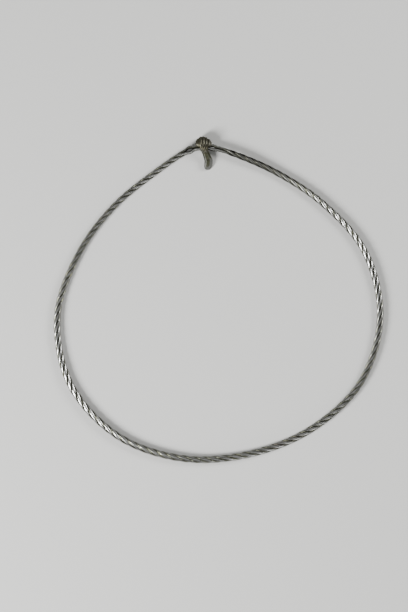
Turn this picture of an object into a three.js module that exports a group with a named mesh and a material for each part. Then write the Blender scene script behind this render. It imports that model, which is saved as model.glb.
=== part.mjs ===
// A slim silver neck ring: four rods twisted into a rope, bent to an open ring and closed by a forged hook.
// Millimetres, +Z up. The ring lies flat on Z = 0, its middle at the origin, with the clasp towards +Y.
import * as THREE from 'three';

// Ring: radius of the rope's middle line at every bearing step, clockwise from +Y as seen from above
const BEARING_STEP = 24;
const RING_RADII = [76.9, 78.2, 84.8, 89.5, 90.5, 87.6, 86.6, 89.4, 93.1, 93.8, 89.1, 80.9, 77.0, 78.7];

// Ends of the rope's middle line, seen from above: the right end from its tip, the left end to its tip
const RIGHT_END = [[-6.45, 83.75], [-3.25, 83.5], [3.65, 81.8]];
const LEFT_END = [[-18.65, 80.8], [-13.7, 83.0], [-9.15, 83.6]];

// Rope: sizes opposite the clasp, where it is thickest
const ROD_COUNT = 4;
const ROD_RADIUS = 0.76;
const HELIX_RADIUS = 1.18;
const END_TAPER = 0.16;
const TURNS = 24.5;
const ROD_SIDES = 6;
const TWIST_STEPS = 167;
const FIRST_ROD_ANGLE = 35;
const LINE_DIVISIONS = 3000;

// Spacing of the strands along the rope, at equal shares of the turns from the right eye to the left
const STRAND_SPACING = [5.7, 4.95, 5.05, 5.35, 5.7, 5.9, 5.05, 5.1, 5.3];

// Eyes: the twist stops at each end, and the rods part in pairs between two shares of the way to the tip
const RIGHT_EYE = { length: 11.0, parting: 0.4, opens: 0.45, closes: 0.93 };
const LEFT_EYE = { length: 10.2, parting: 0.75, opens: 0, closes: 0.64 };
const EYE_STEPS = 7;

// Rise of the rope's ends above the surface, so that they pass over the back of the hook
const END_RISE = 1.58;
const RISE_FULL = 14;
const RISE_NONE = 46;

// Hook: a bar folded round the two tips, with a ribbed knob on the fold and a thick tail in front
const FOLD_MIDDLE = new THREE.Vector3(-8.15, 83.7, 3.2);
const FOLD_INNER_RADIUS = 1.9;
const FOLD_STEP = 15;
const KNOB_OPENS = [-80, -15];
const KNOB_CLOSES = [62, 96];
const BACK_SWELL = 4;
const FRONT_SWELL = 2;
const KNOB = { width: 9.1, depth: 3.8, leftRoundness: 2.0, rightRoundness: 1.2 };
const BACK = { width: 4.8, depth: 1.3 };
const FRONT = { width: 4.6, depth: 1.7 };
const BACK_LEG_REACH = 2.2;
const BACK_TIP = { width: 3.6, depth: 0.9 };

// Front leg and tail of the hook, from the neck to the end
const TAIL_SECTIONS = [
  { x: -7.95, y: 82.7, under: 5.05, depth: 1.8, width: 4.4, rib: 0.3 },
  { x: -7.55, y: 81.9, under: 4.6, depth: 2.1, width: 4.2, rib: 0.25 },
  { x: -6.9, y: 80.4, under: 2.9, depth: 2.9, width: 4.1, rib: 0.1 },
  { x: -6.0, y: 78.4, under: 0.9, depth: 3.5, width: 4.4, rib: 0 },
  { x: -5.4, y: 76.6, under: 0, depth: 3.6, width: 4.6, rib: 0 },
  { x: -5.5, y: 73.9, under: 0, depth: 3.2, width: 4.5, rib: 0 },
  { x: -5.8, y: 72.6, under: 0, depth: 2.1, width: 3.6, rib: 0 },
  { x: -5.9, y: 71.5, under: 0, depth: 1.0, width: 2.0, rib: 0 },
];

// Ribs of the knob: four rounded ribs that run round the fold and close up in the neck
const RIB_COUNT = 4;
const RIB_HEIGHT = 0.45;
const RIB_PITCH = 1.65;
const RIB_SHIFT = 0.8;
const RIB_WIDTH_SHARE = 0.92;
const RIB_SAMPLES = 4;
const RIBS_RISE = [-60, 0];

// Plain margin beside the ribs: points on each side of a section
const MARGIN_POINTS = 2;

// Edges: height of a section's side walls, and the bevels of the tail as shares of its width
const EDGE_SHARE = 0.2;
const TAIL_EDGE_SHARE = 0.45;
const LEFT_BEVEL = 0.16;
const RIGHT_BEVEL = 0.32;
const TAIL_SQUARE_FROM = 3;

const UP = new THREE.Vector3(0, 0, 1);
const DEGREE = Math.PI / 180;

const rodSilver = new THREE.MeshStandardMaterial({ color: 0x8f8c80, roughness: 0.36, metalness: 1 });
const hookSilver = new THREE.MeshStandardMaterial({ color: 0x96938a, roughness: 0.42, metalness: 1 });

function mix(a, b, share) {
  return a + (b - a) * share;
}

// Middle line of the rope as seen from above
function ringLine() {
  const points = RIGHT_END.map(([x, y]) => new THREE.Vector3(x, y, 0));
  RING_RADII.forEach((radius, i) => {
    const bearing = (i + 1) * BEARING_STEP * DEGREE;
    points.push(new THREE.Vector3(radius * Math.sin(bearing), radius * Math.cos(bearing), 0));
  });
  points.push(...LEFT_END.map(([x, y]) => new THREE.Vector3(x, y, 0)));
  const line = new THREE.CatmullRomCurve3(points, false, 'centripetal');
  line.arcLengthDivisions = LINE_DIVISIONS;
  return line;
}

// The rope is thinner towards its ends
function thicknessAt(turnShare) {
  const side = 2 * turnShare - 1;
  return 1 - END_TAPER * side * side;
}

// Share of the twisted length that a share of the turns takes up, because the lay is uneven
function lengthShareAt(turnShare) {
  const spans = STRAND_SPACING.length - 1;
  let reached = 0;
  let whole = 0;
  for (let i = 0; i < spans; i += 1) {
    const start = STRAND_SPACING[i];
    const end = STRAND_SPACING[i + 1];
    const share = THREE.MathUtils.clamp(turnShare * spans - i, 0, 1);
    reached += start * share + ((end - start) * share * share) / 2;
    whole += (start + end) / 2;
  }
  return reached / whole;
}

// How far a pair of rods stands off in an eye, from the neck (0) to the tip (1)
function partingAt(eye, share) {
  const along = THREE.MathUtils.clamp((share - eye.opens) / (eye.closes - eye.opens), 0, 1);
  return eye.parting * Math.sin(Math.PI * along) ** 2;
}

// Stations along the rope: distance from the right tip, share of the turns made and parting of the rods
function ropeStations(length) {
  const stations = [];
  for (let i = 0; i < EYE_STEPS; i += 1) {
    const share = 1 - i / EYE_STEPS;
    const distance = RIGHT_EYE.length * (1 - share);
    stations.push({ distance, turnShare: 0, parting: partingAt(RIGHT_EYE, share) });
  }
  const twisted = length - RIGHT_EYE.length - LEFT_EYE.length;
  for (let i = 0; i <= TWIST_STEPS; i += 1) {
    const turnShare = i / TWIST_STEPS;
    const distance = RIGHT_EYE.length + twisted * lengthShareAt(turnShare);
    stations.push({ distance, turnShare, parting: 0 });
  }
  for (let i = 1; i <= EYE_STEPS; i += 1) {
    const share = i / EYE_STEPS;
    const distance = length - LEFT_EYE.length * (1 - share);
    stations.push({ distance, turnShare: 1, parting: partingAt(LEFT_EYE, share) });
  }
  return stations;
}

// Height of the rope's middle line: it lies on the surface and rises at both ends
function heightAt(distance, length, thickness) {
  const fromTip = Math.min(distance, length - distance);
  const rise = 1 - THREE.MathUtils.smoothstep(fromTip, RISE_FULL, RISE_NONE);
  return thickness * (HELIX_RADIUS + ROD_RADIUS) + END_RISE * rise;
}

// One ring of points round a rod, in the plane across the rope
function rodRing(line, length, station, rod) {
  const along = station.distance / length;
  const thickness = thicknessAt(station.turnShare);
  const middle = line.getPointAt(along);
  middle.z = heightAt(station.distance, length, thickness);
  const outward = new THREE.Vector3().crossVectors(UP, line.getTangentAt(along)).normalize();
  const angle = (FIRST_ROD_ANGLE + (360 / ROD_COUNT) * rod + 360 * TURNS * station.turnShare) * DEGREE;
  const side = Math.sign(Math.cos(angle)) * station.parting;
  const ring = [];
  for (let i = 0; i < ROD_SIDES; i += 1) {
    const turn = angle + (2 * Math.PI * i) / ROD_SIDES;
    const out = thickness * (HELIX_RADIUS * Math.cos(angle) + ROD_RADIUS * Math.cos(turn)) + side;
    const up = thickness * (HELIX_RADIUS * Math.sin(angle) + ROD_RADIUS * Math.sin(turn));
    ring.push(middle.clone().addScaledVector(outward, out).addScaledVector(UP, up));
  }
  return ring;
}

// Closed skin through rings of points that turn anticlockwise about the way they run
function loft(rings) {
  const count = rings[0].length;
  const index = [];
  for (let k = 0; k + 1 < rings.length; k += 1) {
    for (let j = 0; j < count; j += 1) {
      const near = k * count + j;
      const beside = k * count + ((j + 1) % count);
      index.push(near, beside, near + count);
      index.push(beside, beside + count, near + count);
    }
  }
  const last = (rings.length - 1) * count;
  for (let j = 1; j + 1 < count; j += 1) {
    index.push(0, j + 1, j);
    index.push(last, last + j, last + j + 1);
  }
  const geometry = new THREE.BufferGeometry().setFromPoints(rings.flat());
  geometry.setIndex(index);
  geometry.computeVertexNormals();
  return geometry;
}

// Places across a section of the hook, from its right edge to its left: margins and four samples to a rib
function acrossPlaces(width, pitch, shift) {
  const ribsWidth = RIB_COUNT * pitch;
  const right = shift + ribsWidth / 2;
  const left = shift - ribsWidth / 2;
  const places = [];
  for (let i = 0; i < MARGIN_POINTS; i += 1) {
    places.push(mix(width / 2, right, i / MARGIN_POINTS));
  }
  for (let i = 0; i <= RIB_COUNT * RIB_SAMPLES; i += 1) {
    places.push(right - (ribsWidth * i) / (RIB_COUNT * RIB_SAMPLES));
  }
  for (let i = 1; i <= MARGIN_POINTS; i += 1) {
    places.push(mix(left, -width / 2, i / MARGIN_POINTS));
  }
  return places;
}

// Pitch at which the ribs fill a narrow section
function narrowPitch(width) {
  return (width * RIB_WIDTH_SHARE) / RIB_COUNT;
}

// Height of the rounded knob and of the bevelled tail across their width, as a share of the depth
function knobProfile(share) {
  const roundness = share < 0 ? KNOB.leftRoundness : KNOB.rightRoundness;
  return mix(EDGE_SHARE, 1, (1 - Math.abs(share) ** roundness) ** (1 / roundness));
}

function tailProfile(share) {
  const fromLeft = (share + 1) / 2 / LEFT_BEVEL;
  const fromRight = (1 - share) / 2 / RIGHT_BEVEL;
  return mix(TAIL_EDGE_SHARE, 1, Math.min(1, fromLeft, fromRight));
}

// Closed outline of one section: over the outer side from right to left, then back along the inner side
function hookRing({ base, out, width, depth, rib, pitch, shift, squareness }) {
  const ring = [];
  acrossPlaces(width, pitch, shift).forEach((across, i) => {
    const share = THREE.MathUtils.clamp((2 * across) / width, -1, 1);
    const level = depth * mix(knobProfile(share), tailProfile(share), squareness);
    const sample = i - MARGIN_POINTS;
    const onRibs = sample > 0 && sample < RIB_COUNT * RIB_SAMPLES;
    const raised = onRibs ? rib * Math.abs(Math.sin((Math.PI * sample) / RIB_SAMPLES)) : 0;
    const point = base.clone().addScaledVector(out, level + raised);
    point.x += across;
    ring.push(point);
  });
  [-width / 2, 0, width / 2].forEach((across) => {
    const point = base.clone();
    point.x += across;
    ring.push(point);
  });
  return ring;
}

// Sections of the hook in turn: the plain back leg, the fold with its knob, the neck and the tail
function hookSections() {
  const sections = [];
  const down = new THREE.Vector3(0, 0, -1);
  [[1, BACK_TIP], [0.5, BACK]].forEach(([share, size]) => {
    const base = FOLD_MIDDLE.clone();
    base.y -= BACK_LEG_REACH * share;
    base.z -= FOLD_INNER_RADIUS + BACK.depth - size.depth;
    const pitch = narrowPitch(size.width);
    sections.push({ base, out: down, ...size, rib: 0, pitch, shift: 0, squareness: 1 });
  });
  for (let angle = -90; angle <= 90; angle += FOLD_STEP) {
    const out = new THREE.Vector3(0, Math.cos(angle * DEGREE), Math.sin(angle * DEGREE));
    const base = FOLD_MIDDLE.clone().addScaledVector(out, FOLD_INNER_RADIUS);
    const opening = THREE.MathUtils.smoothstep(angle, ...KNOB_OPENS);
    const closing = THREE.MathUtils.smoothstep(angle, ...KNOB_CLOSES);
    const width = mix(mix(BACK.width, KNOB.width, opening), FRONT.width, closing);
    const onBack = angle < 0;
    const swell = out.y ** (onBack ? BACK_SWELL : FRONT_SWELL);
    const depth = mix(onBack ? BACK.depth : FRONT.depth, KNOB.depth, swell);
    const rib = RIB_HEIGHT * THREE.MathUtils.smoothstep(angle, ...RIBS_RISE);
    const pitch = mix(mix(narrowPitch(BACK.width), RIB_PITCH, opening), narrowPitch(FRONT.width), closing);
    const shift = RIB_SHIFT * opening * (1 - closing);
    sections.push({ base, out, width, depth, rib, pitch, shift, squareness: 1 - opening });
  }
  TAIL_SECTIONS.forEach(({ x, y, under, depth, width, rib }, i) => {
    const base = new THREE.Vector3(x, y, under);
    const pitch = narrowPitch(width);
    const squareness = THREE.MathUtils.smoothstep(i, 0, TAIL_SQUARE_FROM);
    sections.push({ base, out: UP, width, depth, rib, pitch, shift: 0, squareness });
  });
  return sections;
}

function namedMesh(name, geometry, material) {
  const mesh = new THREE.Mesh(geometry, material);
  mesh.name = name;
  return mesh;
}

function buildTorc() {
  const torc = new THREE.Group();
  const line = ringLine();
  const length = line.getLength();
  const stations = ropeStations(length);
  for (let rod = 0; rod < ROD_COUNT; rod += 1) {
    const rings = stations.map((station) => rodRing(line, length, station, rod));
    torc.add(namedMesh(`twisted_rod_${rod + 1}`, loft(rings), rodSilver));
  }
  torc.add(namedMesh('clasp_hook', loft(hookSections().map(hookRing)), hookSilver));
  return torc;
}

export default buildTorc();
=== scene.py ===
"""A slim silver neck ring: four rods twisted into a rope, closed by a forged hook with a ribbed knob."""

import math
from bisect import bisect_right

import bpy
from bpy.props import FloatProperty, FloatVectorProperty, IntProperty, PointerProperty
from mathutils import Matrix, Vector, noise


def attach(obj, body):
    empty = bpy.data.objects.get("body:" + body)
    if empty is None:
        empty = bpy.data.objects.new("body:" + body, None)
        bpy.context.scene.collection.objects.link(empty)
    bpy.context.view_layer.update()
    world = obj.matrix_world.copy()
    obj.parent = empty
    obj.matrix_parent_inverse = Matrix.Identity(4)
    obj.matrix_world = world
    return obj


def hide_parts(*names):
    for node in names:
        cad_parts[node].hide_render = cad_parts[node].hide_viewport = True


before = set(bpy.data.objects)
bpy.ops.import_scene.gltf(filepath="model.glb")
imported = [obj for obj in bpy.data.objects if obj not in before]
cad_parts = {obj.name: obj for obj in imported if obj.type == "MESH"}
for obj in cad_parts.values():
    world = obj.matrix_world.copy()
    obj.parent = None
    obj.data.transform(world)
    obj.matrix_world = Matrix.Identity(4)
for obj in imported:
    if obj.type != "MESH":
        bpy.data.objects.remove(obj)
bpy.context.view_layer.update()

bl_info = {
    "name": "Twisted Silver Torc",
    "version": (1, 0, 0),
    "blender": (4, 5, 0),
    "location": "View3D > Sidebar > Torc",
    "description": "Builds a neck ring of four twisted silver rods and the forged hook that closes it",
    "category": "Object",
}

BODY = "root"
ROD_NODES = sorted(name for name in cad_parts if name.startswith("twisted_rod"))
HOOK_NODE = "clasp_hook"
ROD_SLOT = "rod_silver"
HOOK_SLOT = "hook_silver"

MM = 0.001
UP = Vector((0.0, 0.0, 1.0))
QUARTER = math.pi / 2

# Middle line of the rope seen from above, in millimetres: radii at equal bearings clockwise from +Y
BEARING_STEP = math.radians(24)
RING_RADII = (76.9, 78.2, 84.8, 89.5, 90.5, 87.6, 86.6, 89.4, 93.1, 93.8, 89.1, 80.9, 77.0, 78.7)
RIGHT_END = ((-6.45, 83.75), (-3.25, 83.5), (3.65, 81.8))
LEFT_END = ((-18.65, 80.8), (-13.7, 83.0), (-9.15, 83.6))
LINE_SAMPLES_PER_SPAN = 90

# Spacing of the strands along the rope, in millimetres, at equal shares of the turns from right eye to left
STRAND_SPACING = (5.7, 4.95, 5.05, 5.35, 5.7, 5.9, 5.05, 5.1, 5.3)

# Angle of the first rod, the stretch of each eye that stands open as shares of the way to the tip, and how
# softly the twist starts and stops
FIRST_ROD_ANGLE = math.radians(35)
RIGHT_OPEN = (0.45, 0.93)
LEFT_OPEN = (0.0, 0.64)
TWIST_EASE = 2.2 * MM
TURN_SEARCH_ROUNDS = 6

# Uneven lay and thickness: how far along the rope they change, and a shift that keeps the two apart
WANDER_LENGTH = 9 * MM
SWELL_LENGTH = 4 * MM
SWELL_SHIFT = 7.0

# The rope lies higher by this share of a dent, so that no dented side sinks into the floor
DENT_LIFT = 1 / 3

# Which sides of a rod the twist presses and which are its groove and crest: facing in (-1) to facing out (1)
PRESSED_FACING = (-0.6, 0.15)
CREST_FACING = (-0.25, 0.85)

# Painted shade on the rope right of the clasp, dark as a deposit: none up to the first distance from the
# right tip, full between the next two and none again from the last. On the hook a brown deposit goes up
# from the neck.
PAINTED_SHADE_STARTS = (3 * MM, 14 * MM)
PAINTED_SHADE_ENDS = (30 * MM, 85 * MM)
HOOK_DEPOSIT_Y = (79 * MM, 83 * MM)

# Painted highlight on the tail: brighter colour on its right-facing bevel and round its end, and none above
# the neck
TAIL_HIGHLIGHT = 0.75
TAIL_HIGHLIGHT_STOPS_Y = (75.5 * MM, 79 * MM)
TAIL_HIGHLIGHT_END_Y = (71.8 * MM, 73.4 * MM)
HIGHLIGHT_BEVEL_FACING = (0.25, 0.7)

# Noise patterns in the silver, with their scale for each metre, and the middle value of noise
GRAIN = {"Scale": 1200.0, "Detail": 5.0, "Roughness": 0.65}
STAINS = {"Scale": 85.0, "Detail": 3.0, "Roughness": 0.55}
BLUSH = {"Scale": 34.0, "Detail": 2.0, "Roughness": 0.55}
PITS = {"Scale": 2300.0, "Detail": 2.0, "Roughness": 0.55}
SCRATCHES = {"Scale": 5200.0, "Detail": 3.0, "Roughness": 0.65}
DENT_DETAIL = 2.0
NOISE_MIDDLE = 0.5

# Where the patterns start and where they are full
STAIN_RANGE = (0.5, 0.68)
BLUSH_RANGE = (0.62, 0.74)
COAT_RANGE = (0.3, 0.6)
GROOVE_RANGE = (0.12, 0.45)
RUBBED_RANGE = (0.5, 0.95)
PIT_RANGE = (0.38, 0.3)
GLOSS_RANGE = (0.05, 0.6)

# How strongly they show
GRAIN_STRENGTH = 1.1
BLUSH_STRENGTH = 0.6
COAT_LEAST = 0.9
COAT_HIDES_RUB = 0.85
COAT_DULLS = 0.12
PIT_STRENGTH = 0.8
STAIN_SMEAR = 0.2
SCRATCH_SHARE = 0.4
RELIEF_HEIGHT = 0.05 * MM

# Colour sockets of a mix node, by their place among its sockets
MIX_COLOURS = (6, 7)
MIX_RESULT = 2

# Fold of the hook round the two tips. The angles go round it in degrees, from -90 under the tips to 90 over
# them, and the swells are powers: a greater one bulges more sharply.
FOLD_MIDDLE = Vector((-8.15, 83.7, 3.2)) * MM
FOLD_INNER_RADIUS = 1.9 * MM
KNOB_OPENS = (-80, -15)
KNOB_CLOSES = (62, 96)
RIBS_RISE = (-60, 0)
BACK_SWELL = 4
FRONT_SWELL = 2

# Front leg and tail of the hook from the fold to the end, in millimetres, and where the neck's ribs end
TAIL_ROWS = (
    {"x": -8.15, "y": 83.7, "under": 5.1, "depth": 1.7, "width": 5.0, "square": 0.0},
    {"x": -7.95, "y": 82.7, "under": 5.05, "depth": 1.8, "width": 4.4, "square": 0.0},
    {"x": -7.55, "y": 81.9, "under": 4.6, "depth": 2.1, "width": 4.2, "square": 0.25},
    {"x": -6.9, "y": 80.4, "under": 2.9, "depth": 2.9, "width": 4.1, "square": 0.7},
    {"x": -6.0, "y": 78.4, "under": 0.9, "depth": 3.5, "width": 4.4, "square": 1.0},
    {"x": -5.4, "y": 76.6, "under": 0.0, "depth": 3.6, "width": 4.6, "square": 1.0},
    {"x": -5.5, "y": 73.9, "under": 0.0, "depth": 3.2, "width": 4.5, "square": 1.0},
    {"x": -5.8, "y": 72.6, "under": 0.0, "depth": 2.5, "width": 3.8, "square": 1.0},
    {"x": -5.9, "y": 71.5, "under": 0.0, "depth": 1.9, "width": 3.2, "square": 1.0},
)
RIBS_END_Y = (80.3 * MM, 80.9 * MM)
RIB_POWER = 0.75

# Rounded ends of the hook: length of the tail's rounding, the share of the back leg that is rounded, where
# each rounding begins, and the shares of width and depth left at the very end
TAIL_ROUNDING = 1.3 * MM
TAIL_END = {"begin": 0.03, "width": 0.4, "depth": 0.3}
BACK_ROUNDING = 1 / 3
BACK_END = {"begin": 0.06, "width": 0.6, "depth": 0.5}

# Mesh of the hook: steps along it, in degrees round the fold, and points across a section
FOLD_STEP = 2.5
TAIL_STEPS_PER_ROW = 14
BACK_STEPS = 14
RIB_SAMPLES = 14
MARGIN_POINTS = 9
INNER_POINTS = 30

# Thickness at the edges of the knob and of the tail, as a share of the full depth
EDGE_SHARE = 0.2
TAIL_EDGE_SHARE = 0.45

# Surface of the hook: rounds of smoothing for its edges and for the broad shape that crests stand out from,
# how far one round moves a point, the crest value of a flat, and the height of a full crest
SMOOTHING_ROUNDS = 6
CAVITY_ROUNDS = 40
SMOOTHING_SHARE = 0.5
FLAT_CREST = 0.42
CREST_HEIGHT = 0.16 * MM
FINE_DENTS = {"strength": 0.4, "fineness": 2.7}

# Stage: place and size of each soft light, in metres, and the setting that holds its power
LIGHTS = (
    {"name": "left_soft_light", "place": (-0.73, -0.44, 0.6), "size": (0.3, 0.4), "power": "left_power"},
    {"name": "right_soft_light", "place": (0.78, 0.4, 0.6), "size": (0.3, 0.4), "power": "right_power"},
    {"name": "overhead_soft_light", "place": (0.0, 0.0, 1.6), "size": (1.0, 1.0), "power": "over_power"},
    {"name": "near_soft_light", "place": (0.36, -0.92, 0.4), "size": (0.5, 0.4), "power": "near_power"},
)
SKY_COLOUR = (0.98, 0.99, 0.94)
FLOOR_ROUGHNESS = 0.9
FLOOR_SHINE = 0.2
SENSOR_WIDTH = 36.0


def mix(low, high, share):
    """Value between two others."""
    return low + (high - low) * share


def ease(value, start, end):
    """Smooth step from 0 at start to 1 at end."""
    share = min(max((value - start) / (end - start), 0.0), 1.0)
    return share * share * (3.0 - 2.0 * share)


def length_property(label, text, default, low=0.0, high=1.0):
    """A property that holds a length in metres."""
    return FloatProperty(
        name=label, description=text, default=default, min=low, max=high,
        precision=5, subtype="DISTANCE", unit="LENGTH",
    )


def share_property(label, text, default, low=0.0, high=1.0):
    """A property that holds a plain share or strength."""
    return FloatProperty(name=label, description=text, default=default, min=low, max=high, precision=3)


def power_property(label, text, default):
    """A property that holds a light's power in watts."""
    return share_property(label, text, default, 0.0, 500.0)


def colour_property(label, text, default):
    """A property that holds a linear colour."""
    return FloatVectorProperty(
        name=label, description=text, default=default, size=3, min=0.0, max=1.0, subtype="COLOR",
    )


class TorcRopeSettings(bpy.types.PropertyGroup):
    """Sizes of the twisted rope."""

    rod_radius: length_property("Rod radius", "Radius of one rod opposite the clasp", 0.785 * MM)
    helix_radius: length_property("Helix radius", "Distance of each rod from the rope's middle", 1.15 * MM)
    end_taper: share_property("End taper", "Share of the thickness lost towards the ends", 0.16)
    turns: share_property("Turns", "Turns of the twist from end to end", 24.5, 0.0, 80.0)
    right_eye: length_property("Right eye", "Length of the untwisted right end", 11.0 * MM)
    right_parting: length_property("Right parting", "How far the rods part in the right eye", 0.4 * MM)
    left_eye: length_property("Left eye", "Length of the untwisted left end", 10.2 * MM)
    left_parting: length_property("Left parting", "How far the rods part in the left eye", 0.75 * MM)
    end_rise: length_property("End rise", "Height of the ends above their lying place", 1.58 * MM)
    rise_full: length_property("Rise full", "Distance from a tip up to which the rise is full", 14 * MM)
    rise_none: length_property("Rise none", "Distance from a tip at which the rope lies down", 46 * MM)
    station_gap: length_property("Station gap", "Spacing of the rings along a rod", 0.38 * MM)
    rod_sides: IntProperty(name="Rod sides", description="Points round a rod", default=18, min=6, max=48)
    twist_wander: share_property("Twist wander", "Uneven lay of the twist, in radians", 0.10)
    rod_wander: share_property("Rod wander", "Uneven thickness of a rod, as a share", 0.035)
    dent_depth: length_property("Dent depth", "Depth of the hammer marks on a rod", 0.11 * MM)
    dent_size: length_property("Dent size", "Size of the hammer marks on a rod", 1.4 * MM)
    pressing: share_property("Pressing", "How far the twist presses the rods towards filling the rope", 0.28)
    tone: share_property("Tone", "Depth of the tarnish on the rods, less is darker", 0.64)
    stain: share_property("Stain", "Least share of olive stain on the rods", 0.2)
    rubbed_and_highlight: share_property("Rubbed", "How bright the crests of the rods are rubbed", 0.9)
    roughness: share_property("Roughness", "Roughness of the rubbed rods", 0.25)
    # On the rods this dark colour is painted shade near the clasp
    deposit: colour_property("Deposit", "Dark deposit on the rods near the clasp", (0.03, 0.03, 0.024))


class TorcHookSettings(bpy.types.PropertyGroup):
    """Sizes of the forged hook."""

    knob_width: length_property("Knob width", "Width of the ribbed knob", 9.1 * MM)
    knob_depth: length_property("Knob depth", "Thickness of the knob beyond the fold", 3.8 * MM)
    left_roundness: share_property("Left roundness", "Power of the left of the outline", 2.0, 1.0, 6.0)
    right_roundness: share_property("Right roundness", "Power of the right of the outline", 1.2, 1.0, 6.0)
    back_width: length_property("Back width", "Width of the plain back leg", 4.8 * MM)
    back_depth: length_property("Back depth", "Thickness of the plain back leg", 1.3 * MM)
    back_reach: length_property("Back reach", "Length of the back leg before the fold", 2.2 * MM)
    back_tip_width: length_property("Back tip width", "Width of the back leg's tip", 3.6 * MM)
    back_tip_depth: length_property("Back tip depth", "Thickness of the back leg's tip", 0.9 * MM)
    front_width: length_property("Front width", "Width of the front leg at the fold", 4.6 * MM)
    front_depth: length_property("Front depth", "Thickness of the front leg at the fold", 1.7 * MM)
    rib_count: IntProperty(name="Ribs", description="Ribs on the knob", default=4, min=1, max=12)
    rib_height: length_property("Rib height", "Height of the ribs on the knob", 0.5 * MM)
    neck_rib_height: length_property("Neck rib height", "Height of the ribs in the neck", 0.3 * MM)
    rib_pitch: length_property("Rib pitch", "Spacing of the ribs on the knob", 1.65 * MM)
    rib_shift: length_property("Rib shift", "How far the ribs stand to the right", 0.8 * MM)
    rib_fill: share_property("Rib fill", "Share of a narrow section that the ribs take", 0.92)
    left_bevel: share_property("Left bevel", "Width of the tail's left bevel, as a share", 0.16)
    right_bevel: share_property("Right bevel", "Width of the tail's right bevel, as a share", 0.32)
    dent_depth: length_property("Dent depth", "Depth of the hammer marks", 0.09 * MM)
    dent_size: length_property("Dent size", "Size of the hammer marks", 1.1 * MM)
    tone: share_property("Tone", "Depth of the tarnish on the hook, less is darker", 0.42)
    stain: share_property("Stain", "Least share of olive stain on the hook", 0.85)
    # It also sets how bright the painted highlight on the tail's bevel and end shows
    rubbed_and_highlight: share_property("Rubbed", "How bright the crests of the hook are rubbed", 0.8)
    roughness: share_property("Roughness", "Roughness of the rubbed hook", 0.36)
    deposit: colour_property("Deposit", "Brown deposit on the knob", (0.06, 0.056, 0.037))


class TorcSilverSettings(bpy.types.PropertyGroup):
    """Colours and gloss of the silver."""

    # This colour also paints the highlight on the tail's right bevel and end
    bright: colour_property("Bright silver", "Silver rubbed bright on crests and edges", (0.52, 0.52, 0.51))
    tarnish: colour_property("Tarnish", "Grey-olive tarnish on most of the surface", (0.148, 0.15, 0.115))
    groove: colour_property("Groove", "Dark deposit in the grooves", (0.022, 0.021, 0.017))
    olive: colour_property("Olive stain", "Yellowish patches of patina", (0.168, 0.172, 0.11))
    rose: colour_property("Rose stain", "Faint pinkish patches", (0.22, 0.185, 0.17))
    rim: colour_property("Rim", "Tint of the light given back at a grazing angle", (0.3, 0.3, 0.29))
    groove_roughness: share_property("Groove roughness", "Roughness of the deposit", 0.55)
    scratch: share_property("Scratches", "Strength of the fine scratches and pits", 0.4)


class TorcStageSettings(bpy.types.PropertyGroup):
    """Floor, light and camera."""

    floor: colour_property("Floor", "Pale floor", (0.44, 0.44, 0.43))
    floor_width: length_property("Floor width", "Width of the floor", 3.0, 0.1, 20.0)
    camera_height: length_property("Camera height", "Height of the camera over the floor", 1.2, 0.1, 10.0)
    frame_height: length_property("Frame height", "Height of the view at the rope", 0.3366, 0.01, 5.0)
    aim_x: length_property("Aim x", "Middle of the view, to the right", -7.92 * MM, -1.0, 1.0)
    aim_y: length_property("Aim y", "Middle of the view, towards the clasp", -3.47 * MM, -1.0, 1.0)
    left_power: power_property("Left light", "Power of the soft light on the left, in watts", 31.0)
    right_power: power_property("Right light", "Power of the soft light on the right, in watts", 13.5)
    over_power: power_property("Overhead light", "Power of the soft light overhead, in watts", 2.1)
    near_power: power_property("Near light", "Power of the soft light before the ring, in watts", 2.6)
    sky: share_property("Sky", "Strength of the even light from above", 0.22, 0.0, 10.0)


def hermite(start, end, leave, arrive, t):
    """Point of a cubic between two points with given end slopes."""
    square = -3 * start + 3 * end - 2 * leave - arrive
    cube = 2 * start - 2 * end + leave + arrive
    return start + leave * t + square * t ** 2 + cube * t ** 3


def centripetal_line(points, per_span):
    """Samples of a centripetal Catmull-Rom curve through the points."""
    padded = [points[0] * 2 - points[1], *points, points[-1] * 2 - points[-2]]
    samples = []
    for before, start, end, after in zip(padded, padded[1:], padded[2:], padded[3:]):
        gap_in = (start - before).length ** 0.5
        gap = (end - start).length ** 0.5
        gap_out = (after - end).length ** 0.5
        leave = ((start - before) / gap_in - (end - before) / (gap_in + gap) + (end - start) / gap) * gap
        arrive = ((end - start) / gap - (after - start) / (gap + gap_out) + (after - end) / gap_out) * gap
        samples += [hermite(start, end, leave, arrive, i / per_span) for i in range(per_span)]
    samples.append(points[-1].copy())
    return samples


class RopeLine:
    """The rope's middle line seen from above, looked up by distance from the right tip."""

    def __init__(self):
        points = [Vector((x, y, 0.0)) * MM for x, y in RIGHT_END]
        for i, radius in enumerate(RING_RADII, start=1):
            bearing = i * BEARING_STEP
            points.append(Vector((math.sin(bearing), math.cos(bearing), 0.0)) * radius * MM)
        points += [Vector((x, y, 0.0)) * MM for x, y in LEFT_END]
        self.samples = centripetal_line(points, LINE_SAMPLES_PER_SPAN)
        self.marks = [0.0]
        for start, end in zip(self.samples, self.samples[1:]):
            self.marks.append(self.marks[-1] + (end - start).length)
        self.length = self.marks[-1]

    def at(self, distance):
        """Place on the line and the way it runs there."""
        i = min(max(bisect_right(self.marks, distance) - 1, 0), len(self.samples) - 2)
        share = (distance - self.marks[i]) / (self.marks[i + 1] - self.marks[i])
        before = self.samples[max(i - 1, 0)]
        start, end = self.samples[i], self.samples[i + 1]
        after = self.samples[min(i + 2, len(self.samples) - 1)]
        heading = (end - before).lerp(after - start, share)
        return start.lerp(end, share), heading.normalized()


def soft_ramp(value, ease_width):
    """Zero below, the value itself above, and a smooth bend over the ease width between."""
    if value <= -ease_width:
        return 0.0
    if value >= ease_width:
        return value
    return (value + ease_width) ** 2 / (4 * ease_width)


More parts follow.
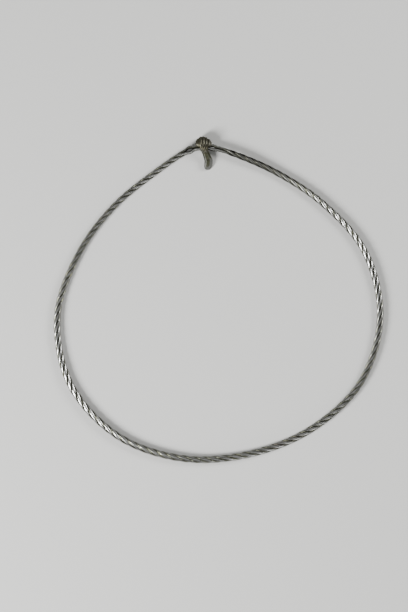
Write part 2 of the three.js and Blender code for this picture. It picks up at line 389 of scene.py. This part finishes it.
def length_share(share):
    """Share of the twisted length that a share of the turns takes up, because the lay is uneven."""
    spans = len(STRAND_SPACING) - 1
    reached = 0.0
    whole = 0.0
    for i, (start, end) in enumerate(zip(STRAND_SPACING, STRAND_SPACING[1:])):
        part = min(max(share * spans - i, 0.0), 1.0)
        reached += start * part + (end - start) * part ** 2 / 2
        whole += (start + end) / 2
    return reached / whole


def turn_share(rope, length, distance):
    """Share of the turns made at a distance from the right tip."""
    twisted = length - rope.right_eye - rope.left_eye
    travelled = soft_ramp(distance - rope.right_eye, TWIST_EASE)
    travelled -= soft_ramp(distance - (length - rope.left_eye), TWIST_EASE)
    aim = travelled / twisted
    share = aim
    for _ in range(TURN_SEARCH_ROUNDS):
        share += aim - length_share(share)
    return share


def parting(rope, length, distance):
    """How far a pair of rods stands off from the middle in the eyes."""
    for eye, spread, (opens, closes), from_tip in (
        (rope.right_eye, rope.right_parting, RIGHT_OPEN, distance),
        (rope.left_eye, rope.left_parting, LEFT_OPEN, length - distance),
    ):
        along = (1 - from_tip / eye - opens) / (closes - opens)
        if 0 < along < 1:
            return spread * math.sin(math.pi * along) ** 2
    return 0.0


def rod_course(rope, line, rod):
    """Middle point, radius, outward direction, pressing and painted shade of one rod, from right tip to
    left.
    """
    count = round(line.length / rope.station_gap)
    course = []
    for i in range(count + 1):
        distance = line.length * i / count
        share = turn_share(rope, line.length, distance)
        thickness = 1 - rope.end_taper * (2 * share - 1) ** 2
        place, heading = line.at(distance)
        from_tip = min(distance, line.length - distance)
        rise = 1 - ease(from_tip, rope.rise_full, rope.rise_none)
        lying = thickness * (rope.helix_radius + rope.rod_radius)
        place.z = lying + rope.end_rise * rise + rope.dent_depth * DENT_LIFT
        outward = UP.cross(heading).normalized()
        twist_on = ease(from_tip, rope.right_eye, 2 * rope.right_eye)
        wander = rope.twist_wander * twist_on * noise.noise(Vector((distance / WANDER_LENGTH, 0.0, 0.0)))
        angle = FIRST_ROD_ANGLE + QUARTER * rod + 2 * math.pi * rope.turns * share + wander
        away = outward * math.cos(angle) + UP * math.sin(angle)
        apart = math.copysign(parting(rope, line.length, distance), math.cos(angle))
        swell = 1 + rope.rod_wander * noise.noise(Vector((distance / SWELL_LENGTH, SWELL_SHIFT + rod, 0.0)))
        middle = place + away * rope.helix_radius * thickness + outward * apart
        # Painted shade near the clasp: darkest between the middle two distances from the right tip
        deposit = ease(distance, *PAINTED_SHADE_STARTS) * (1 - ease(distance, *PAINTED_SHADE_ENDS))
        course.append((middle, rope.rod_radius * thickness * swell, away, twist_on, deposit))
    return course


def add_node(tree, kind, **settings):
    """A node with its settings."""
    node = tree.nodes.new(kind)
    for name, value in settings.items():
        setattr(node, name, value)
    return node


def named_value(tree, name, kind):
    """A stored value of a mesh, read by its name."""
    node = add_node(tree, "GeometryNodeInputNamedAttribute", data_type=kind)
    node.inputs["Name"].default_value = name
    return node


def rod_skin_tree():
    """Geometry nodes that skin a rod's middle line, press and dent it and mark its crest and groove."""
    tree = bpy.data.node_groups.new("rod_skin", "GeometryNodeTree")
    tree.interface.new_socket("Geometry", in_out="OUTPUT", socket_type="NodeSocketGeometry")
    for name, kind in (
        ("Middle Line", "Geometry"), ("Rod Sides", "Int"), ("Pressing", "Float"),
        ("Dent Depth", "Float"), ("Dent Size", "Float"), ("Silver", "Material"),
    ):
        tree.interface.new_socket(name, in_out="INPUT", socket_type=f"NodeSocket{kind}")
    entry = add_node(tree, "NodeGroupInput")
    result = add_node(tree, "NodeGroupOutput")
    line = add_node(tree, "GeometryNodeMeshToCurve")
    section = add_node(tree, "GeometryNodeCurvePrimitiveCircle")
    section.inputs["Radius"].default_value = 1.0
    radius = named_value(tree, "rod_radius", "FLOAT")
    skin = add_node(tree, "GeometryNodeCurveToMesh")
    skin.inputs["Fill Caps"].default_value = True
    position = add_node(tree, "GeometryNodeInputPosition")
    fineness = add_node(tree, "ShaderNodeMath", operation="DIVIDE")
    fineness.inputs[0].default_value = 1.0
    dents = add_node(tree, "ShaderNodeTexNoise", noise_dimensions="3D")
    dents.inputs["Detail"].default_value = DENT_DETAIL
    level = add_node(tree, "ShaderNodeMath", operation="SUBTRACT")
    level.inputs[1].default_value = NOISE_MIDDLE
    depth = add_node(tree, "ShaderNodeMath", operation="MULTIPLY")
    normal = add_node(tree, "GeometryNodeInputNormal")
    push = add_node(tree, "ShaderNodeVectorMath", operation="SCALE")
    dented = add_node(tree, "GeometryNodeSetPosition")
    away = named_value(tree, "away", "FLOAT_VECTOR")
    middle = named_value(tree, "middle", "FLOAT_VECTOR")
    pressed = named_value(tree, "pressed", "FLOAT")
    offset = add_node(tree, "ShaderNodeVectorMath", operation="SUBTRACT")
    direction = add_node(tree, "ShaderNodeVectorMath", operation="NORMALIZE")
    facing = add_node(tree, "ShaderNodeVectorMath", operation="DOT_PRODUCT")
    squared = add_node(tree, "ShaderNodeMath", operation="MULTIPLY")
    side = add_node(tree, "ShaderNodeMath", operation="SUBTRACT")
    side.inputs[0].default_value = 1.0
    outer = add_node(tree, "ShaderNodeMapRange", interpolation_type="SMOOTHSTEP")
    outer.inputs["From Min"].default_value, outer.inputs["From Max"].default_value = PRESSED_FACING
    shoulder = add_node(tree, "ShaderNodeMath", operation="MULTIPLY")
    share = add_node(tree, "ShaderNodeMath", operation="MULTIPLY")
    amount = add_node(tree, "ShaderNodeMath", operation="MULTIPLY")
    widen = add_node(tree, "ShaderNodeVectorMath", operation="SCALE")
    flattened = add_node(tree, "GeometryNodeSetPosition")
    spread = add_node(tree, "ShaderNodeMapRange")
    spread.inputs["From Min"].default_value, spread.inputs["From Max"].default_value = CREST_FACING
    crest = add_node(tree, "GeometryNodeStoreNamedAttribute", data_type="FLOAT", domain="POINT")
    crest.inputs["Name"].default_value = "crest"
    smooth = add_node(tree, "GeometryNodeSetShadeSmooth")
    realize = add_node(tree, "GeometryNodeRealizeInstances")
    silver = add_node(tree, "GeometryNodeSetMaterial")
    link = tree.links.new
    link(entry.outputs["Middle Line"], line.inputs["Mesh"])
    link(entry.outputs["Rod Sides"], section.inputs["Resolution"])
    link(line.outputs["Curve"], skin.inputs["Curve"])
    link(section.outputs["Curve"], skin.inputs["Profile Curve"])
    link(radius.outputs["Attribute"], skin.inputs["Scale"])
    link(entry.outputs["Dent Size"], fineness.inputs[1])
    link(position.outputs["Position"], dents.inputs["Vector"])
    link(fineness.outputs["Value"], dents.inputs["Scale"])
    link(dents.outputs["Fac"], level.inputs[0])
    link(level.outputs["Value"], depth.inputs[0])
    link(entry.outputs["Dent Depth"], depth.inputs[1])
    link(normal.outputs["Normal"], push.inputs[0])
    link(depth.outputs["Value"], push.inputs["Scale"])
    link(position.outputs["Position"], offset.inputs[0])
    link(middle.outputs["Attribute"], offset.inputs[1])
    link(offset.outputs["Vector"], direction.inputs[0])
    link(direction.outputs["Vector"], facing.inputs[0])
    link(away.outputs["Attribute"], facing.inputs[1])
    link(facing.outputs["Value"], squared.inputs[0])
    link(facing.outputs["Value"], squared.inputs[1])
    link(squared.outputs["Value"], side.inputs[1])
    link(facing.outputs["Value"], outer.inputs["Value"])
    link(side.outputs["Value"], shoulder.inputs[0])
    link(outer.outputs["Result"], shoulder.inputs[1])
    link(entry.outputs["Pressing"], share.inputs[0])
    link(pressed.outputs["Attribute"], share.inputs[1])
    link(shoulder.outputs["Value"], amount.inputs[0])
    link(share.outputs["Value"], amount.inputs[1])
    link(offset.outputs["Vector"], widen.inputs[0])
    link(amount.outputs["Value"], widen.inputs["Scale"])
    link(skin.outputs["Mesh"], flattened.inputs["Geometry"])
    link(widen.outputs["Vector"], flattened.inputs["Offset"])
    link(flattened.outputs["Geometry"], dented.inputs["Geometry"])
    link(push.outputs["Vector"], dented.inputs["Offset"])
    link(facing.outputs["Value"], spread.inputs["Value"])
    link(dented.outputs["Geometry"], crest.inputs["Geometry"])
    link(spread.outputs["Result"], crest.inputs["Value"])
    link(crest.outputs["Geometry"], smooth.inputs["Geometry"])
    link(smooth.outputs["Geometry"], realize.inputs["Geometry"])
    link(realize.outputs["Geometry"], silver.inputs["Geometry"])
    link(entry.outputs["Silver"], silver.inputs["Material"])
    link(silver.outputs["Geometry"], result.inputs["Geometry"])
    return tree


def set_tree_input(modifier, name, value):
    """Sets a node modifier's input, found by its name, through the socket's identifier."""
    for item in modifier.node_group.interface.items_tree:
        if item.item_type == "SOCKET" and item.in_out == "INPUT" and item.name == name:
            modifier[item.identifier] = value
            return
    raise RuntimeError(f"the node tree has no input named {name}")


def add_piece(name, data):
    """A new object for a mesh, a light or a camera, at the origin."""
    piece = bpy.data.objects.new(name, data)
    bpy.context.scene.collection.objects.link(piece)
    return piece


def settle_mesh(piece):
    """Keeps the evaluated result as the piece's own plain mesh."""
    depsgraph = bpy.context.evaluated_depsgraph_get()
    evaluated = piece.evaluated_get(depsgraph)
    mesh = bpy.data.meshes.new_from_object(evaluated, preserve_all_data_layers=True, depsgraph=depsgraph)
    piece.modifiers.clear()
    piece.data = mesh


def hand_over(piece, slot, *nodes):
    """Puts a finished piece under its body and hides the solids it stands for; the finish slot is not used.
    """
    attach(piece, BODY)
    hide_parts(*nodes)


def colour_value(colour):
    """A colour with full alpha."""
    return (colour[0], colour[1], colour[2], 1.0)


def blend_colours(tree, factor, low, high):
    """A colour mix node between two colours or sockets."""
    node = add_node(tree, "ShaderNodeMix", data_type="RGBA")
    tree.links.new(factor, node.inputs["Factor"])
    for value, place in zip((low, high), MIX_COLOURS):
        if isinstance(value, bpy.types.NodeSocket):
            tree.links.new(value, node.inputs[place])
        else:
            node.inputs[place].default_value = colour_value(value)
    return node.outputs[MIX_RESULT]


def map_value(tree, value, limits, to_low=0.0, to_high=1.0):
    """A smooth, clamped change of range."""
    node = add_node(tree, "ShaderNodeMapRange", interpolation_type="SMOOTHSTEP")
    node.inputs["From Min"].default_value, node.inputs["From Max"].default_value = limits
    node.inputs["To Min"].default_value = to_low
    node.inputs["To Max"].default_value = to_high
    tree.links.new(value, node.inputs["Value"])
    return node.outputs["Result"]


def noise_value(tree, coordinates, pattern):
    """A noise pattern on the piece's own coordinates."""
    node = add_node(tree, "ShaderNodeTexNoise", noise_dimensions="3D")
    for name, value in pattern.items():
        node.inputs[name].default_value = value
    tree.links.new(coordinates, node.inputs["Vector"])
    return node.outputs["Fac"]


def combine(tree, operation, first, second):
    """A math node on two sockets or numbers."""
    node = add_node(tree, "ShaderNodeMath", operation=operation)
    for value, socket in ((first, node.inputs[0]), (second, node.inputs[1])):
        if isinstance(value, bpy.types.NodeSocket):
            tree.links.new(value, socket)
        else:
            socket.default_value = value
    return node.outputs["Value"]


def toned(colour, tone):
    """A darker or lighter colour."""
    return tuple(channel * tone for channel in colour)


def silver_material(name, look, finish):
    """Tarnished silver: dark in the grooves, grey-olive on the sides, rubbed bright on the crests, with
    painted shade near the clasp and a painted highlight on the tail.
    """
    material = bpy.data.materials.new(name)
    material.use_nodes = True
    tree = material.node_tree
    shader = tree.nodes["Principled BSDF"]
    coordinates = add_node(tree, "ShaderNodeTexCoord").outputs["Object"]
    crest = add_node(tree, "ShaderNodeAttribute", attribute_name="crest").outputs["Fac"]
    deposit = add_node(tree, "ShaderNodeAttribute", attribute_name="deposit").outputs["Fac"]
    grain = combine(tree, "SUBTRACT", noise_value(tree, coordinates, GRAIN), NOISE_MIDDLE)
    # On the hook the crest value also carries the painted highlight of the tail
    wear_and_highlight = combine(tree, "ADD", crest, combine(tree, "MULTIPLY", grain, GRAIN_STRENGTH))
    stains = noise_value(tree, coordinates, STAINS)
    blush = noise_value(tree, coordinates, BLUSH)
    plain, olive, rose = (toned(colour, finish.tone) for colour in (look.tarnish, look.olive, look.rose))
    tarnish = blend_colours(tree, map_value(tree, stains, STAIN_RANGE, finish.stain, 1.0), plain, olive)
    tarnish = blend_colours(tree, map_value(tree, blush, BLUSH_RANGE, 0.0, BLUSH_STRENGTH), tarnish, rose)
    # Painted shade on the rope near the clasp and a brown deposit on the knob: darker colour, duller gloss
    # and less rubbed brightness, patchy with the stains
    shade_and_deposit_cover = combine(tree, "MULTIPLY", deposit, map_value(tree, stains, COAT_RANGE, COAT_LEAST, 1.0))
    tarnish = blend_colours(tree, shade_and_deposit_cover, tarnish, finish.deposit)
    sides = blend_colours(tree, map_value(tree, wear_and_highlight, GROOVE_RANGE), look.groove, tarnish)
    bright = toned(look.bright, finish.tone)
    bared = combine(tree, "SUBTRACT", 1.0, combine(tree, "MULTIPLY", shade_and_deposit_cover, COAT_HIDES_RUB))
    rubbed_and_highlight = combine(tree, "MULTIPLY", map_value(tree, wear_and_highlight, RUBBED_RANGE, 0.0, finish.rubbed_and_highlight), bared)
    colour = blend_colours(tree, rubbed_and_highlight, sides, bright)
    pits = noise_value(tree, coordinates, PITS)
    pitted = map_value(tree, pits, PIT_RANGE, 0.0, PIT_STRENGTH)
    colour = blend_colours(tree, pitted, colour, look.groove)
    tree.links.new(colour, shader.inputs["Base Color"])
    gloss = map_value(tree, wear_and_highlight, GLOSS_RANGE, look.groove_roughness, finish.roughness)
    smear = combine(tree, "MULTIPLY", combine(tree, "SUBTRACT", stains, NOISE_MIDDLE), STAIN_SMEAR)
    dulled = combine(tree, "ADD", smear, combine(tree, "MULTIPLY", shade_and_deposit_cover, COAT_DULLS))
    tree.links.new(combine(tree, "ADD", gloss, dulled), shader.inputs["Roughness"])
    shader.inputs["Metallic"].default_value = 1.0
    shader.inputs["Specular Tint"].default_value = colour_value(look.rim)
    scratches = noise_value(tree, coordinates, SCRATCHES)
    relief = combine(tree, "ADD", combine(tree, "MULTIPLY", scratches, SCRATCH_SHARE), pits)
    bump = add_node(tree, "ShaderNodeBump")
    bump.inputs["Strength"].default_value = look.scratch
    bump.inputs["Distance"].default_value = RELIEF_HEIGHT
    tree.links.new(relief, bump.inputs["Height"])
    tree.links.new(bump.outputs["Normal"], shader.inputs["Normal"])
    return material


def store_values(mesh, name, values):
    """Keeps a number or a direction for each point of a mesh."""
    is_vector = isinstance(values[0], Vector)
    attribute = mesh.attributes.new(name, "FLOAT_VECTOR" if is_vector else "FLOAT", "POINT")
    for item, value in zip(attribute.data, values):
        if is_vector:
            item.vector = value
        else:
            item.value = value


def middle_line_mesh(name, course):
    """A chain of edges along a rod's middle line that carries what its skin needs at each point."""
    places, sizes, directions, presses, shade_and_deposit_values = zip(*course)
    mesh = bpy.data.meshes.new(name)
    mesh.from_pydata(places, [(i, i + 1) for i in range(len(places) - 1)], [])
    store_values(mesh, "middle", places)
    store_values(mesh, "rod_radius", sizes)
    store_values(mesh, "away", directions)
    store_values(mesh, "pressed", presses)
    store_values(mesh, "deposit", shade_and_deposit_values)
    return mesh


class TORC_OT_twisted_rods(bpy.types.Operator):
    """Builds the four rods of the rope, each skinned along its own twisted middle line"""

    bl_idname = "torc.twisted_rods"
    bl_label = "Twisted rods"

    def execute(self, context):
        rope = context.scene.torc_rope
        silver = silver_material("tarnished_rod_silver", context.scene.torc_silver, rope)
        line = RopeLine()
        tree = rod_skin_tree()
        inputs = {
            "Rod Sides": rope.rod_sides,
            "Pressing": rope.pressing,
            "Dent Depth": rope.dent_depth,
            "Dent Size": rope.dent_size,
            "Silver": silver,
        }
        for rod, node in enumerate(ROD_NODES):
            piece = add_piece(f"silver_rod_{rod + 1}", middle_line_mesh(node, rod_course(rope, line, rod)))
            modifier = piece.modifiers.new("rod_skin", "NODES")
            modifier.node_group = tree
            for name, value in inputs.items():
                set_tree_input(modifier, name, value)
            settle_mesh(piece)
            hand_over(piece, ROD_SLOT, node)
        return {"FINISHED"}


def knob_profile(hook, share):
    """Height across the rounded knob, as a share of its depth."""
    power = hook.left_roundness if share < 0 else hook.right_roundness
    return mix(EDGE_SHARE, 1.0, (1 - abs(share) ** power) ** (1 / power))


def tail_profile(hook, share):
    """Height across the bevelled tail, as a share of its depth."""
    from_left = (share + 1) / 2 / hook.left_bevel
    from_right = (1 - share) / 2 / hook.right_bevel
    return mix(TAIL_EDGE_SHARE, 1.0, min(1.0, from_left, from_right))


def narrow_pitch(hook, width):
    """Pitch at which the ribs fill a narrow section."""
    return width * hook.rib_fill / hook.rib_count


def section_ring(hook, section):
    """Closed outline of a section: over the outer side from right to left, then back along the inner one."""
    width, pitch, shift = section["width"], section["pitch"], section["shift"]
    ribs = hook.rib_count * RIB_SAMPLES
    right = shift + hook.rib_count * pitch / 2
    left = shift - hook.rib_count * pitch / 2
    places = [(mix(width / 2, right, i / MARGIN_POINTS), 0.0) for i in range(MARGIN_POINTS)]
    for i in range(ribs + 1):
        swing = abs(math.sin(math.pi * i / RIB_SAMPLES)) ** RIB_POWER
        places.append((mix(right, left, i / ribs), swing))
    places += [(mix(left, -width / 2, i / MARGIN_POINTS), 0.0) for i in range(1, MARGIN_POINTS + 1)]
    ring = []
    for across, swing in places:
        share = min(max(2 * across / width, -1.0), 1.0)
        shape = mix(knob_profile(hook, share), tail_profile(hook, share), section["square"])
        level = section["depth"] * shape + section["rib"] * swing
        ring.append(section["base"] + section["out"] * level + Vector((across, 0.0, 0.0)))
    for i in range(INNER_POINTS):
        across = mix(-width / 2, width / 2, i / (INNER_POINTS - 1))
        ring.append(section["base"] + Vector((across, 0.0, 0.0)))
    return ring


def fold_sections(hook):
    """Sections of the fold, from the back leg over the knob to the front leg."""
    sections = []
    steps = round(180 / FOLD_STEP)
    for i in range(steps + 1):
        angle = -90 + 180 * i / steps
        out = Vector((0.0, math.cos(math.radians(angle)), math.sin(math.radians(angle))))
        opening = ease(angle, *KNOB_OPENS)
        closing = ease(angle, *KNOB_CLOSES)
        on_back = angle < 0
        swell = max(out.y, 0.0) ** (BACK_SWELL if on_back else FRONT_SWELL)
        pitch = mix(narrow_pitch(hook, hook.back_width), hook.rib_pitch, opening)
        sections.append({
            "base": FOLD_MIDDLE + out * FOLD_INNER_RADIUS,
            "out": out,
            "width": mix(mix(hook.back_width, hook.knob_width, opening), hook.front_width, closing),
            "depth": mix(hook.back_depth if on_back else hook.front_depth, hook.knob_depth, swell),
            "rib": mix(hook.rib_height, hook.neck_rib_height, closing) * ease(angle, *RIBS_RISE),
            "pitch": mix(pitch, narrow_pitch(hook, hook.front_width), closing),
            "shift": hook.rib_shift * opening * (1 - closing),
            "square": 1 - opening,
        })
    return sections


def rounded_end(share, end, key):
    """Share of the full width or depth at a share of the way into a rounded end."""
    rounding = (1 - (1 - min(1.0, share + end["begin"])) ** 2) ** 0.5
    return mix(end[key], 1.0, rounding)


def back_leg_sections(hook):
    """Sections of the plain back leg, from its rounded tip to the fold."""
    sections = []
    down = -UP
    for i in range(BACK_STEPS):
        share = i / BACK_STEPS
        swell = ease(share, 0.0, 1.0)
        into = share / BACK_ROUNDING
        width = mix(hook.back_tip_width, hook.back_width, swell) * rounded_end(into, BACK_END, "width")
        depth = mix(hook.back_tip_depth, hook.back_depth, swell) * rounded_end(into, BACK_END, "depth")
        base = FOLD_MIDDLE - Vector((0.0, hook.back_reach * (1 - share), 0.0))
        base.z = depth
        sections.append({
            "base": base, "out": down, "width": width, "depth": depth, "rib": 0.0,
            "pitch": narrow_pitch(hook, width), "shift": 0.0, "square": 1.0,
        })
    return sections


def row_value(key, row, share):
    """Smooth value between two rows of the tail's table."""
    values = [TAIL_ROWS[min(max(row + k, 0), len(TAIL_ROWS) - 1)][key] for k in (-1, 0, 1, 2)]
    before, start, end, after = values
    return hermite(start, end, (end - before) / 2, (after - start) / 2, share)


def tail_sections(hook):
    """Sections of the neck and the tail, from the fold to the blunt end."""
    sections = []
    for row in range(len(TAIL_ROWS) - 1):
        for step in range(TAIL_STEPS_PER_ROW):
            share = (step + 1) / TAIL_STEPS_PER_ROW
            value = {key: row_value(key, row, share) for key in TAIL_ROWS[0]}
            base = Vector((value["x"], value["y"], max(value["under"], 0.0))) * MM
            into = (base.y - TAIL_ROWS[-1]["y"] * MM) / TAIL_ROUNDING
            width = value["width"] * rounded_end(into, TAIL_END, "width") * MM
            depth = value["depth"] * rounded_end(into, TAIL_END, "depth") * MM
            sections.append({
                "base": base, "out": UP, "width": width, "depth": depth,
                "rib": hook.neck_rib_height * ease(base.y, *RIBS_END_Y),
                "pitch": narrow_pitch(hook, width), "shift": 0.0,
                "square": min(max(value["square"], 0.0), 1.0),
            })
    return sections


def lofted_mesh(name, rings):
    """Closed mesh through rings of points, with a fan at each end."""
    count = len(rings[0])
    points = [point for ring in rings for point in ring]
    faces = []
    for k in range(len(rings) - 1):
        for j in range(count):
            near, beside = k * count + j, k * count + (j + 1) % count
            faces.append((near, beside, beside + count, near + count))
    for ring, base, turned in ((rings[0], 0, True), (rings[-1], (len(rings) - 1) * count, False)):
        points.append(sum(ring, Vector()) / count)
        for j in range(count):
            pair = (base + j, base + (j + 1) % count)
            faces.append((*(reversed(pair) if turned else pair), len(points) - 1))
    mesh = bpy.data.meshes.new(name)
    mesh.from_pydata(points, [], faces)
    mesh.validate()
    return mesh


def neighbours_of(mesh):
    """Vertices that share an edge with each vertex."""
    near = [[] for _ in mesh.vertices]
    for edge in mesh.edges:
        first, second = edge.vertices
        near[first].append(second)
        near[second].append(first)
    return near


def relaxed(points, near, rounds):
    """Points drawn towards the middle of their neighbours, some rounds over."""
    for _ in range(rounds):
        points = [
            point.lerp(sum((points[k] for k in close), Vector()) / len(close), SMOOTHING_SHARE)
            for point, close in zip(points, near)
        ]
    return points


def finish_hook_surface(mesh, hook):
    """Rounds the edges, adds hammer marks, paints a highlight on the tail's right bevel and end, and marks
    hollows and crests for the material.
    """
    near = neighbours_of(mesh)
    points = relaxed([vertex.co.copy() for vertex in mesh.vertices], near, SMOOTHING_ROUNDS)
    for vertex, point in zip(mesh.vertices, points):
        vertex.co = point
    mesh.update()
    broad = relaxed(points, near, CAVITY_ROUNDS)
    stands = [(point - low).dot(vertex.normal) for point, low, vertex in zip(points, broad, mesh.vertices)]
    crests_and_highlights = []
    for stand, vertex in zip(stands, mesh.vertices):
        # Painted highlight: brighter colour on the right-facing bevel and round the end of the tail
        on_end = 1 - ease(vertex.co.y, *TAIL_HIGHLIGHT_END_Y)
        on_bevel = ease(vertex.normal.x, *HIGHLIGHT_BEVEL_FACING)
        painted_highlight = TAIL_HIGHLIGHT * max(on_end, on_bevel) * (1 - ease(vertex.co.y, *TAIL_HIGHLIGHT_STOPS_Y))
        crests_and_highlights.append(min(max(FLAT_CREST + stand / CREST_HEIGHT + painted_highlight, 0.0), 1.0))
    store_values(mesh, "crest", crests_and_highlights)
    store_values(mesh, "deposit", [ease(point.y, *HOOK_DEPOSIT_Y) for point in points])
    moved = []
    for vertex in mesh.vertices:
        dent = noise.noise(vertex.co / hook.dent_size)
        dent += FINE_DENTS["strength"] * noise.noise(vertex.co * FINE_DENTS["fineness"] / hook.dent_size)
        moved.append(vertex.co + vertex.normal * dent * hook.dent_depth)
    for vertex, point in zip(mesh.vertices, moved):
        vertex.co = (point.x, point.y, max(point.z, 0.0))
    for polygon in mesh.polygons:
        polygon.use_smooth = True
    mesh.update()


class TORC_OT_clasp_hook(bpy.types.Operator):
    """Builds the forged hook: back leg, ribbed knob on the fold, neck and bevelled tail"""

    bl_idname = "torc.clasp_hook"
    bl_label = "Clasp hook"

    def execute(self, context):
        hook = context.scene.torc_hook
        sections = back_leg_sections(hook) + fold_sections(hook) + tail_sections(hook)
        mesh = lofted_mesh("forged_clasp_hook", [section_ring(hook, section) for section in sections])
        finish_hook_surface(mesh, hook)
        mesh.materials.append(silver_material("tarnished_hook_silver", context.scene.torc_silver, hook))
        hand_over(add_piece("forged_clasp_hook", mesh), HOOK_SLOT, HOOK_NODE)
        return {"FINISHED"}


def add_floor(stage):
    """The pale floor that the torc lies on."""
    half = stage.floor_width / 2
    mesh = bpy.data.meshes.new("pale_floor")
    corners = [(-half, -half, 0.0), (half, -half, 0.0), (half, half, 0.0), (-half, half, 0.0)]
    mesh.from_pydata(corners, [], [(0, 1, 2, 3)])
    material = bpy.data.materials.new("pale_floor")
    material.use_nodes = True
    shader = material.node_tree.nodes["Principled BSDF"]
    shader.inputs["Base Color"].default_value = colour_value(stage.floor)
    shader.inputs["Roughness"].default_value = FLOOR_ROUGHNESS
    shader.inputs["Specular IOR Level"].default_value = FLOOR_SHINE
    mesh.materials.append(material)
    add_piece("pale_floor", mesh)


def add_lights(stage):
    """Soft light panels that face the middle of the ring."""
    for panel in LIGHTS:
        data = bpy.data.lights.new(panel["name"], "AREA")
        data.shape = "RECTANGLE"
        data.size, data.size_y = panel["size"]
        data.energy = getattr(stage, panel["power"])
        light = add_piece(panel["name"], data)
        place = Vector(panel["place"])
        light.location = place
        light.rotation_euler = (-place).to_track_quat("-Z", "Y").to_euler()


def add_sky(scene, stage):
    """Even light from all round."""
    world = bpy.data.worlds.new("even_sky")
    world.use_nodes = True
    sky = world.node_tree.nodes["Background"]
    sky.inputs["Color"].default_value = colour_value(SKY_COLOUR)
    sky.inputs["Strength"].default_value = stage.sky
    scene.world = world


def add_camera(scene, stage):
    """Camera that looks straight down on the rope."""
    data = bpy.data.cameras.new("looking_down")
    data.sensor_width = SENSOR_WIDTH
    rope_distance = stage.camera_height - scene.torc_rope.helix_radius - scene.torc_rope.rod_radius
    data.lens = data.sensor_width * rope_distance / stage.frame_height
    data.dof.use_dof = False
    camera = add_piece("looking_down", data)
    camera.location = (stage.aim_x, stage.aim_y, stage.camera_height)
    camera.rotation_euler = (0.0, 0.0, 0.0)
    scene.camera = camera


class TORC_OT_stage(bpy.types.Operator):
    """Sets the pale floor, the soft lights and the camera that looks straight down"""

    bl_idname = "torc.stage"
    bl_label = "Stage"

    def execute(self, context):
        scene = context.scene
        stage = scene.torc_stage
        add_floor(stage)
        add_lights(stage)
        add_sky(scene, stage)
        add_camera(scene, stage)
        return {"FINISHED"}


class TORC_PT_sidebar(bpy.types.Panel):
    """Lists the torc's steps in the sidebar"""

    bl_idname = "TORC_PT_sidebar"
    bl_label = "Twisted Silver Torc"
    bl_space_type = "VIEW_3D"
    bl_region_type = "UI"
    bl_category = "Torc"

    def draw(self, context):
        for operator in OPERATORS:
            self.layout.operator(operator.bl_idname)
        for name in SETTINGS:
            box = self.layout.box()
            settings = getattr(context.scene, name)
            for field in settings.bl_rna.properties:
                if field.identifier not in {"rna_type", "name"}:
                    box.prop(settings, field.identifier)


OPERATORS = (TORC_OT_twisted_rods, TORC_OT_clasp_hook, TORC_OT_stage)
SETTINGS = {
    "torc_rope": TorcRopeSettings,
    "torc_hook": TorcHookSettings,
    "torc_silver": TorcSilverSettings,
    "torc_stage": TorcStageSettings,
}


def register():
    """Adds the settings, operators and panel to Blender."""
    for name, group in SETTINGS.items():
        bpy.utils.register_class(group)
        setattr(bpy.types.Scene, name, PointerProperty(type=group))
    for operator in OPERATORS:
        bpy.utils.register_class(operator)
    bpy.utils.register_class(TORC_PT_sidebar)


def unregister():
    """Takes them out again."""
    bpy.utils.unregister_class(TORC_PT_sidebar)
    for operator in reversed(OPERATORS):
        bpy.utils.unregister_class(operator)
    for name, group in SETTINGS.items():
        delattr(bpy.types.Scene, name)
        bpy.utils.unregister_class(group)


def main():
    """Builds the torc and its stage."""
    register()
    bpy.ops.torc.twisted_rods()
    bpy.ops.torc.clasp_hook()
    bpy.ops.torc.stage()


if __name__ == "__main__":
    main()
